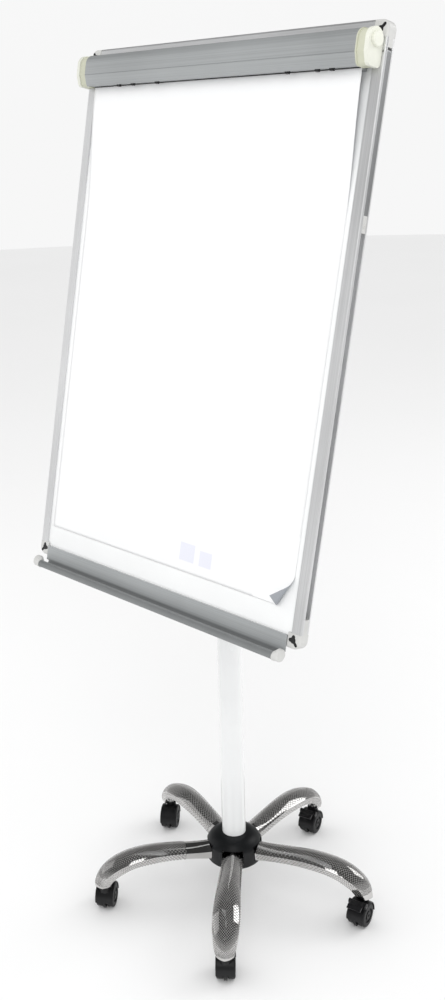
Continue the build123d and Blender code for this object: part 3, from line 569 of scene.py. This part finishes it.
# ---------------------------------------------------------------- star base
@dataclass
class StarBase:
    """Hub, five chromed arms in their net sleeves, and the casters."""

    arms: int = 5
    # reach from the column, height and thickness of an arm's middle line, in millimetres
    stations: tuple[tuple[float, float, float], ...] = (
        (33.0, 112.0, 27.0),
        (80.0, 113.5, 26.5),
        (150.0, 120.0, 26.0),
        (215.0, 117.5, 26.0),
        (259.0, 102.5, 27.5),
        (284.0, 79.5, 29.5),
        (289.5, 62.0, 30.0),
    )
    rings: int = 72
    spokes: int = 40
    clearance: float = 0.7
    probe_reach: float = 80.0
    net_thickness: float = 0.25
    # where each sleeve starts and ends along its arm, from 0 at the hub to 1 at the tip
    sleeve_spans: tuple[tuple[float, float], ...] = (
        (0.12, 0.93),
        (0.14, 0.95),
        (0.24, 0.97),
        (0.13, 0.985),
        (0.10, 0.90),
    )
    # share of each point's way to its neighbours' middle, which evens out the wrap
    evening: float = 0.35
    column: Vector = field(default_factory=column_foot)

    def middle_line(self, t: float) -> tuple[float, float, float]:
        """Reach, height and thickness along an arm, by a smooth curve through its stations."""
        stops = self.stations
        place = t * (len(stops) - 1)
        i = min(int(place), len(stops) - 2)
        s = place - i
        before = stops[max(i - 1, 0)]
        after = stops[min(i + 2, len(stops) - 1)]
        curve = []
        for a, b, c, d in zip(before, stops[i], stops[i + 1], after):
            curve.append(
                0.5 * (2 * b + (c - a) * s + (2 * a - 5 * b + 4 * c - d) * s * s
                       + (3 * b - a - 3 * c + d) * s * s * s)
            )
        return tuple(curve)

    def wrap_point(
        self, surface: BVHTree, outward: Vector, sideways: Vector, t: float, angle: float
    ) -> Vector:
        """Point of a sleeve, just outside the arm under it.

        Args:
            surface: the arm's skin.
            outward: level direction from the column to the arm's tip.
            sideways: level direction across the arm.
            t: place along the arm, from 0 at the hub to 1 at the tip.
            angle: place round the arm, in radians from its side.

        Returns:
            The point, in metres.
        """
        here = self.middle_line(t)
        ahead = self.middle_line(min(t + 0.01, 1.0))
        behind = self.middle_line(max(t - 0.01, 0.0))
        run = (outward * (ahead[0] - behind[0]) + Vector((0, 0, ahead[1] - behind[1]))).normalized()
        ridge = sideways.cross(run)
        if ridge.dot(outward * 0.5 + Vector((0, 0, 1))) < 0:
            ridge = -ridge
        centre = self.column + (outward * here[0] + Vector((0, 0, here[1]))) * MM
        far = self.probe_reach * MM
        direction = sideways * cos(angle) + ridge * sin(angle)
        if sin(angle) >= 0:
            hit = surface.ray_cast(centre + direction * far, -direction)[0]
            radius = (hit - centre).length if hit else here[2] * MM
        else:
            hit = surface.ray_cast(centre + sideways * far, -sideways)[0]
            half_width = (hit - centre).length if hit else here[2] * MM
            half_thick = here[2] / 2 * MM
            radius = min(half_width / max(abs(cos(angle)), 0.01), half_thick / -sin(angle))
        return centre + direction * (radius + self.clearance * MM)

    def sleeve(self, number: int) -> bpy.types.Object:
        """Net sleeve of one arm, a little proud of the arm that it wraps.

        Args:
            number: which arm, from 1.

        Returns:
            The sleeve.
        """
        swivel = joint_place(f"caster_swivel_{number}") - self.column
        outward = Vector((swivel.x, swivel.y, 0)).normalized()
        sideways = Vector((-outward.y, outward.x, 0))
        surface = BVHTree.FromObject(
            frame["nodes"][f"base_arm_{number}"], bpy.context.evaluated_depsgraph_get()
        )
        start, end = self.sleeve_spans[number - 1]
        shape = bmesh.new()
        shape.loops.layers.uv.new("sleeve")
        bmesh.ops.create_grid(
            shape, x_segments=self.rings, y_segments=self.spokes, size=0.5, calc_uvs=True
        )
        for vertex in shape.verts:
            t = start + (end - start) * (vertex.co.x + 0.5)
            vertex.co = self.wrap_point(surface, outward, sideways, t, 2 * pi * (vertex.co.y + 0.5))
        bmesh.ops.remove_doubles(shape, verts=shape.verts, dist=WELD)
        inner = [v for v in shape.verts if not v.is_boundary]
        bmesh.ops.smooth_vert(
            shape, verts=inner, factor=self.evening, use_axis_x=True, use_axis_y=True, use_axis_z=True
        )
        bmesh.ops.recalc_face_normals(shape, faces=shape.faces)
        net = add_object(f"net_sleeve_{number}", shape)
        wall = net.modifiers.new("wall", "SOLIDIFY")
        wall.thickness = self.net_thickness * MM
        wall.offset = 1.0
        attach(net, "base")
        return net

    def build(self) -> None:
        """Make the sleeves and dress the base."""
        net = NetWrap().material()
        for number in range(1, self.arms + 1):
            self.sleeve(number).data.materials.append(net)
        chrome = Plating("chromed_arm", (0.70, 0.69, 0.68), roughness=0.05, haze=0.10).material()
        dress(chrome, *[f"base_arm_{i}" for i in range(1, self.arms + 1)])
        zinc = Plating("zinc_plate", (0.58, 0.58, 0.57), roughness=0.22, haze=0.15).material()
        dress(zinc, "hub_core", "caster_sockets", "caster_stems")
        hub = Moulding("hub_black", (0.006, 0.007, 0.008), roughness=0.40, specular=0.3)
        dress(hub.material(), "hub_shell", "hub_cover")
        hood = Moulding(
            "caster_black", (0.006, 0.006, 0.007), roughness=0.34, texture=700.0, specular=0.35
        ).material()
        wheel = Moulding(
            "wheel_black", (0.008, 0.008, 0.009), roughness=0.48, texture=500.0, specular=0.3
        ).material()
        for name in frame["nodes"]:
            if name.startswith(("caster_hood", "caster_brake")):
                dress(hood, name)
            elif name.startswith("caster_wheels"):
                dress(wheel, name)


# ---------------------------------------------------------------- column and head
@dataclass
class Column:
    """White column, sliding mast, collar, hand knobs and the tilting head."""

    white: Colour = (0.88, 0.89, 0.89)
    black: Colour = (0.014, 0.014, 0.015)

    def build(self) -> None:
        """Dress every node of the column and the head."""
        dress(Paint("column_white", self.white, roughness=0.22, coat=0.6).material(), "column_tube")
        mast = Plating("mast_steel", (0.60, 0.61, 0.62), roughness=0.25, haze=0.12)
        dress(mast.material(), "mast_tube")
        knob = Moulding("knob_black", self.black, roughness=0.45)
        dress(knob.material(), "column_collar", "height_knob", "tilt_knob")
        nylon = Moulding("nylon", (0.50, 0.50, 0.47), roughness=0.5)
        dress(nylon.material(), "column_liner", "mast_glide")
        bracket = Paint("bracket_grey", (0.10, 0.105, 0.11), roughness=0.4, coat=0.1, peel=0.0001)
        dress(bracket.material(), "head_yoke", "board_bracket")
        bolt = Plating("bolt_zinc", (0.62, 0.62, 0.60), roughness=0.2, haze=0.2)
        dress(bolt.material(), "tilt_bolt", "bracket_screws")


# ---------------------------------------------------------------- board
@dataclass
class WritingSurface:
    """Panel, core, back sheet and the thin film that hangs over the panel."""

    board: BoardFrame
    # millimetres on the board throughout, unless a name says otherwise
    panel_middle: float = 3.4
    film_width: float = 636.0
    film_head: float = 431.0
    film_foot: float = -437.0
    flat_from: float = 190.0
    proud_from: float = 424.0
    proud: float = 9.75
    flat: float = -2.65
    corner_fold: float = 30.0
    fold_lean: float = 29.0
    curl_radius: float = 6.5
    curl_turn: float = 142.0
    columns: int = 106
    rows: int = 144
    thickness: float = 0.2
    # shallow ripples: height, the least that they dip, and how fast they turn along each direction
    ripple_height: float = 0.25
    ripple_dip: float = -0.05
    ripple_across: float = 0.012
    ripple_drift: float = 0.004
    ripple_up: float = 0.009
    # printed blocks as centre across, centre up, half width and half height, in metres
    blocks: tuple[tuple[float, float, float, float], ...] = (
        (0.0665, -0.400, 0.0185, 0.0165),
        (0.1130, -0.403, 0.0150, 0.0140),
    )
    # size of the finely divided corner, as a share of the unit grid
    fine_corner: float = 0.14
    # slack of the flat length, for the bow over the clamp rail
    bow_slack: float = 0.5

    def standoff(self, up: float) -> float:
        """How far the film stands from the board's front at a height, in millimetres."""
        if up >= self.proud_from:
            return self.proud
        if up <= self.flat_from:
            return self.flat
        s = (up - self.flat_from) / (self.proud_from - self.flat_from)
        return self.flat + (self.proud - self.flat) * s * s * (3 - 2 * s)

    def curled(self, across: float, up: float, out: float) -> tuple[float, float, float]:
        """Lift the film's lower right corner into a curl.

        Args:
            across: place across the board before the curl.
            up: place up the board.
            out: place out from the board.

        Returns:
            The same point with the corner curled.
        """
        corner = Vector((self.film_width / 2, self.film_foot))
        towards = Vector((cos(radians(self.fold_lean)), -sin(radians(self.fold_lean))))
        offset = Vector((across, up)) - corner
        beyond = offset.dot(towards) + self.corner_fold
        if beyond <= 0:
            return across, up, out
        turn = min(beyond / self.curl_radius, radians(self.curl_turn))
        rest = beyond - turn * self.curl_radius
        forward = self.curl_radius * sin(turn) + rest * cos(turn)
        lift = self.curl_radius * (1 - cos(turn)) + rest * sin(turn)
        moved = Vector((across, up)) + towards * (forward - beyond)
        return moved.x, moved.y, out + lift

    def film(self) -> bpy.types.Object:
        """The hanging film, bowed over the clamp rail and curled at one corner."""
        shape = bmesh.new()
        bmesh.ops.create_grid(shape, x_segments=self.columns, y_segments=self.rows, size=0.5)
        corner = Vector((0.5, -0.5, 0))
        near = [e for e in shape.edges if (e.verts[0].co - corner).length < self.fine_corner]
        bmesh.ops.subdivide_edges(shape, edges=near, cuts=2, use_grid_fill=True)
        height = self.film_head - self.film_foot
        for vertex in shape.verts:
            across = vertex.co.x * self.film_width
            up = self.film_foot + (vertex.co.y + 0.5) * height
            swell = sin(across * self.ripple_across + up * self.ripple_drift)
            ripple = self.ripple_height * swell * sin(up * self.ripple_up)
            out = self.standoff(up) + max(ripple, self.ripple_dip)
            vertex.co = self.board.point(*self.curled(across, up, out))
        bmesh.ops.recalc_face_normals(shape, faces=shape.faces)
        if sum(f.normal.dot(self.board.out) for f in shape.faces) < 0:
            bmesh.ops.reverse_faces(shape, faces=shape.faces)
        piece = add_object("hanging_film", shape)
        wall = piece.modifiers.new("wall", "SOLIDIFY")
        wall.thickness = self.thickness * MM
        wall.offset = 0.0
        # the back faces take the film's second material, a grey that paints the shade under the curled
        # corner
        wall.material_offset = 1
        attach(piece, "board")
        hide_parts("cover_sheet")
        return piece

    def build(self) -> None:
        """Make the film and dress the panel."""
        film = self.film()
        finish = PrintedFilm("printed_film", self.board.middle, self.board.up, self.blocks)
        film.data.materials.append(finish.material())
        # grey back of the film: painted shade, seen under the curled corner
        shaded_back = Paint("film_back_painted_shade", (0.36, 0.38, 0.41), roughness=0.4, coat=0.0)
        film.data.materials.append(shaded_back.material())
        length = (self.film_head - self.film_foot + self.bow_slack) * MM
        self.film_width * MM
        enamel = Paint("panel_enamel", (0.93, 0.94, 0.94), roughness=0.18, coat=0.4, peel=0.00002)
        dress(enamel.material(), "writing_panel")
        dress(CoreBoard().material(), "board_core")
        dress(Paint("back_coat", (0.42, 0.43, 0.44), roughness=0.45, coat=0.1).material(), "back_sheet")


@dataclass
class FrameRails:
    """Four rails, the corner caps with their inserts, and the swing-out side arms."""

    board: BoardFrame
    silver: Colour = (0.74, 0.745, 0.75)

    def build(self) -> None:
        """Dress the frame."""
        lean = self.board.lean
        across = DrawnAluminium("rail_across", self.silver, Grain.ACROSS, lean).material()
        upright = DrawnAluminium("rail_upright", self.silver, Grain.UPRIGHT, lean).material()
        arm = DrawnAluminium("side_arm_metal", (0.30, 0.305, 0.31), Grain.UPRIGHT, lean).material()
        dress(across, "rail_top", "rail_bottom")
        dress(upright, "rail_left", "rail_right")
        dress(arm, "side_arm_left", "side_arm_right")
        cap = Moulding("cap_light", (0.66, 0.66, 0.645), roughness=0.42).material()
        dress(cap, "corner_caps", "tray_end_caps", "side_arm_tip_left", "side_arm_tip_right")
        inlay = Moulding("inlay_black", (0.006, 0.006, 0.007), roughness=0.35)
        dress(inlay.material(), "corner_inserts")
        pin = Plating("pin_zinc", (0.55, 0.55, 0.54), roughness=0.25, haze=0.2)
        dress(pin.material(), "side_arm_pins")


@dataclass
class ClampAndTray:
    """Clamp bar with its ivory ends, the pad hooks, and the pen tray."""

    board: BoardFrame
    grey: Colour = (0.40, 0.415, 0.42)
    ivory: Colour = (0.82, 0.83, 0.74)
    # darker, slightly yellower ivory of the end caps' recessed band: its darkness is painted shade
    shaded_neck_ivory: Colour = (0.62, 0.63, 0.50)
    roughness: float = 0.5
    metallic: float = 0.35
    tray_lightness: float = 1.12

    def build(self) -> None:
        """Dress the clamp and the tray."""
        metal = DrawnAluminium(
            "satin_grey", self.grey, Grain.ACROSS, self.board.lean, self.roughness, self.metallic
        )
        dress(metal.material(), "clamp_bar", "clamp_rail")
        # the tray's channel and front bead carry painted shade
        tray = PaintedShadeTray(
            "tray_grey",
            tuple(c * self.tray_lightness for c in self.grey),
            Grain.ACROSS,
            self.board.lean,
            self.roughness,
            self.metallic,
            self.board.middle,
            self.board.up,
        )
        dress(tray.material(), "pen_tray")
        # end caps in the darker ivory: painted shade of their recessed band
        dress(Moulding("ivory_neck_painted_shade", self.shaded_neck_ivory, roughness=0.45).material(), "clamp_end_caps")
        ivory = Moulding("ivory", self.ivory, roughness=0.38).material()
        dress(ivory, "clamp_cheeks", "clamp_knob_left", "clamp_knob_right")
        dress(Moulding("jaw_black", (0.012, 0.012, 0.012), roughness=0.7).material(), "jaw_strip")
        hooks = Moulding("hook_black", (0.010, 0.010, 0.011), roughness=0.4).material()
        dress(hooks, "jaw_clips", "pad_hook_left", "pad_hook_right")


# ---------------------------------------------------------------- studio
@dataclass(frozen=True)
class Lamp:
    """One soft square lamp: its place and size in metres, and its power in watts."""

    name: str
    place: tuple[float, float, float]
    size: float
    power: float

    def hang(self, target: Vector) -> None:
        """Put the lamp in the scene, turned towards the target."""
        data = bpy.data.lights.new(self.name, "AREA")
        data.size = self.size
        data.energy = self.power
        lamp = bpy.data.objects.new(self.name, data)
        lamp.location = self.place
        lamp.rotation_euler = (Vector(self.place) - target).to_track_quat("Z", "Y").to_euler()
        bpy.context.scene.collection.objects.link(lamp)


@dataclass
class Studio:
    """Pale floor, soft light and the camera."""

    column: Vector
    azimuth: float = 47.04
    elevation: float = 17.97
    roll: float = -2.32
    distance: float = 2.1989
    aim_across: float = -0.1058
    aim_height: float = 0.9111
    lens: float = 41.0
    shift_x: float = 0.0517
    shift_y: float = -0.0092
    floor_radius: float = 14.0
    # brightness of the surroundings at the horizon and overhead
    soft_glow: tuple[float, float] = (0.93, 0.97)
    shine_glow: tuple[float, float] = (0.60, 0.05)
    glow_height: float = 0.6
    lamp_target: tuple[float, float, float] = (0, 0, 0.9)
    lamps: tuple[Lamp, ...] = (
        Lamp("key", (2.6, -3.0, 3.4), 2.2, 26.0),
        Lamp("front", (1.1, -1.5, 3.3), 1.1, 7.0),
        Lamp("fill", (-3.2, -2.0, 2.2), 2.6, 12.0),
        Lamp("rim", (1.5, 3.2, 2.8), 2.0, 30.0),
    )

    def camera(self) -> None:
        """Stand the camera at the chosen viewing angle."""
        a, e = radians(self.azimuth), radians(self.elevation)
        back = Vector((sin(a) * cos(e), -cos(a) * cos(e), sin(e)))
        across = Vector((cos(a), sin(a), 0))
        aim = self.column + across * self.aim_across + Vector((0, 0, self.aim_height))
        data = bpy.data.cameras.new("camera")
        data.lens = self.lens
        data.sensor_width = 36.0
        data.shift_x = self.shift_x
        data.shift_y = self.shift_y
        data.clip_end = 100.0
        eye = bpy.data.objects.new("camera", data)
        eye.rotation_mode = "QUATERNION"
        turn = Quaternion(back, radians(self.roll))
        eye.rotation_quaternion = turn @ back.to_track_quat("Z", "Y")
        eye.location = aim + back * self.distance
        bpy.context.scene.collection.objects.link(eye)
        bpy.context.scene.camera = eye

    def floor(self) -> None:
        """Wide pale floor."""
        shape = bmesh.new()
        bmesh.ops.create_circle(shape, cap_ends=True, radius=self.floor_radius, segments=96)
        disc = add_object("studio_floor", shape, smooth=False)
        bench = Bench("floor_white")
        tone = bench.noise(0.8, 2.0)
        colour = bench.blend(tone, (0.87, 0.87, 0.87), (0.89, 0.89, 0.89))
        disc.data.materials.append(bench.surface(Base_Color=colour, Roughness=0.9, Specular_IOR_Level=0.1))

    def sky(self) -> None:
        """White surroundings that shiny metal sees as a darker room."""
        world = bpy.data.worlds.new("studio")
        bench = NodeBench(world)
        place = bench.node("ShaderNodeTexCoord").outputs["Generated"]
        height = bench.node("ShaderNodeSeparateXYZ", None, {0: place}).outputs["Z"]
        glows = []
        for at_horizon, overhead in (self.soft_glow, self.shine_glow):
            strength = bench.node(
                "ShaderNodeMapRange",
                None,
                {
                    "Value": height,
                    "From Min": 0.0,
                    "From Max": self.glow_height,
                    "To Min": at_horizon,
                    "To Max": overhead,
                },
            )
            inputs = {"Color": (1.0, 1.0, 1.0, 1.0), "Strength": strength.outputs[0]}
            glows.append(bench.node("ShaderNodeBackground", None, inputs).outputs[0])
        shiny = bench.node("ShaderNodeLightPath").outputs["Is Glossy Ray"]
        mix = bench.node("ShaderNodeMixShader", None, {0: shiny, 1: glows[0], 2: glows[1]})
        bench.node("ShaderNodeOutputWorld", None, {"Surface": mix.outputs[0]})
        bpy.context.scene.world = world

    def build(self) -> None:
        """Set the studio up."""
        self.camera()
        self.floor()
        self.sky()
        for lamp in self.lamps:
            lamp.hang(Vector(self.lamp_target))
        bpy.context.scene.view_settings.view_transform = "Standard"


def main() -> None:
    logging.basicConfig(level=logging.INFO, format="%(name)s: %(message)s")
    board = read_board()
    base = StarBase()
    Studio(base.column).build()
    base.build()
    Column().build()
    WritingSurface(board).build()
    FrameRails(board).build()
    ClampAndTray(board).build()
    log.info("board lean %.2f degrees", board.lean)


if __name__ == "__main__":
    main()
